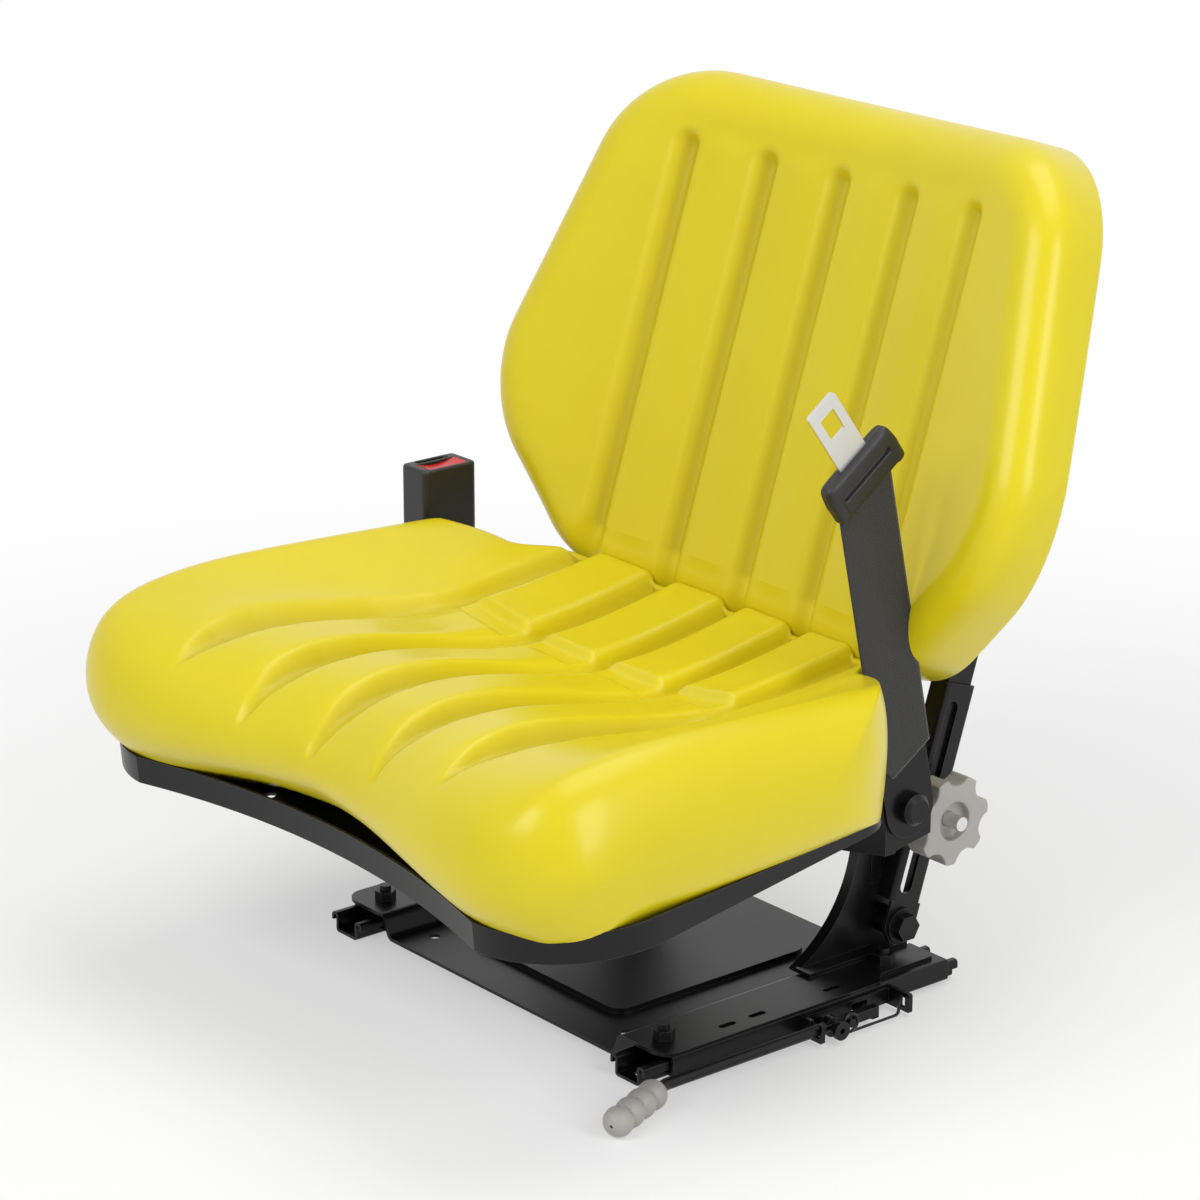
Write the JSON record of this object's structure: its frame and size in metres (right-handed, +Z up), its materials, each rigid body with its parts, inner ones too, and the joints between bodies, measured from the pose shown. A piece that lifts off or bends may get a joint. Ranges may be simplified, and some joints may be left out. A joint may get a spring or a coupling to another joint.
{
  "type": "operator seat",
  "caption": "Padded bucket seat for a small machine, on locking slide rails, with a tilting, height-adjustable back, clamp knobs and a lap belt.",
  "frame": {"origin": "middle of the four fixing holes, on the underside of the lower rails", "axes": "+X to the operator's left, -Y to the front, +Z up"},
  "size_m": [0.5437, 0.5619, 0.5716],
  "materials": {
    "yellow_cover": "smooth satin PVC cover, yellow",
    "black_steel": "black paint on pressed steel, satin",
    "black_fastener": "black oxide, satin",
    "bright_steel": "bright zinc plate",
    "black_plastic": "fine matt moulded black",
    "grey_plastic": "matt moulded grey",
    "red_plastic": "gloss moulded red",
    "webbing": "woven black belt webbing",
    "nylon": "natural nylon"
  },
  "bodies": {
    "lower_rails": {"left_lower_rail": "black_steel", "right_lower_rail": "black_steel"},
    "seat_base": {"left_upper_rail": "black_steel", "right_upper_rail": "black_steel", "rail_glides": "nylon", "rail_studs": "black_fastener", "rail_nuts": "black_fastener", "base_pan": "black_steel", "left_upright": "black_steel", "right_upright": "black_steel", "left_belt_ear": "black_steel", "right_belt_ear": "black_steel", "seat_pan": "black_steel", "seat_cushion": "yellow_cover", "cushion_screws": "black_fastener", "pivot_bolts": "black_fastener", "pivot_bushes": "black_steel", "pivot_washers": "black_fastener", "latch_bracket": "black_steel", "lever_pin": "black_fastener", "lever_spring": "bright_steel", "belt_tab": "black_steel", "belt_bolts": "black_fastener", "belt_webbing": "webbing", "belt_tongue": "bright_steel", "tongue_cover": "black_plastic", "buckle_stalk": "black_steel", "buckle_housing": "black_plastic", "button_spring": "bright_steel"},
    "slide_lever": {"slide_lever": "black_steel", "lever_grip": "grey_plastic"},
    "back_arms": {"left_arm": "black_steel", "right_arm": "black_steel"},
    "backrest": {"left_back_bar": "black_steel", "right_back_bar": "black_steel", "back_bolts": "black_fastener", "clamp_bolts": "bright_steel", "clamp_washers": "black_fastener", "backrest_shell": "black_plastic", "backrest_cushion": "yellow_cover"},
    "left_knob": {"left_knob": "grey_plastic"},
    "right_knob": {"right_knob": "grey_plastic"},
    "buckle_button": {"buckle_button": "red_plastic"}
  },
  "joints": [
    {"name": "seat_slide", "type": "slide", "parent": "lower_rails", "child": "seat_base", "axis": [0, 1, 0], "range_m": [-0.075, 0.075]},
    {"name": "lever_lift", "type": "hinge", "parent": "seat_base", "child": "slide_lever", "pos_m": [0.19, 0.005, 0.01], "axis": [-1, 0, 0], "range_deg": [0, 8], "stiffness_Nm_per_rad": 2, "springref_deg": -5.73},
    {"name": "back_tilt", "type": "hinge", "parent": "seat_base", "child": "back_arms", "pos_m": [0, 0.107, 0.041], "axis": [-1, 0, 0], "range_deg": [0, 10]},
    {"name": "back_height", "type": "slide", "parent": "back_arms", "child": "backrest", "axis": [0, 0.309, 0.9511], "range_m": [0, 0.05]},
    {"name": "left_knob_turn", "type": "hinge", "parent": "backrest", "child": "left_knob", "pos_m": [0.164, 0.12838, 0.11975], "axis": [1, 0, 0], "range_deg": [0, 360]},
    {"name": "right_knob_turn", "type": "hinge", "parent": "backrest", "child": "right_knob", "pos_m": [-0.164, 0.12838, 0.11975], "axis": [-1, 0, 0], "range_deg": [0, 360]},
    {"name": "button_press", "type": "slide", "parent": "seat_base", "child": "buckle_button", "axis": [0, 0, -1], "range_m": [0, 0.004], "stiffness_N_per_m": 800, "springref_m": -0.002, "deforming": ["button_spring"]}
  ]
}
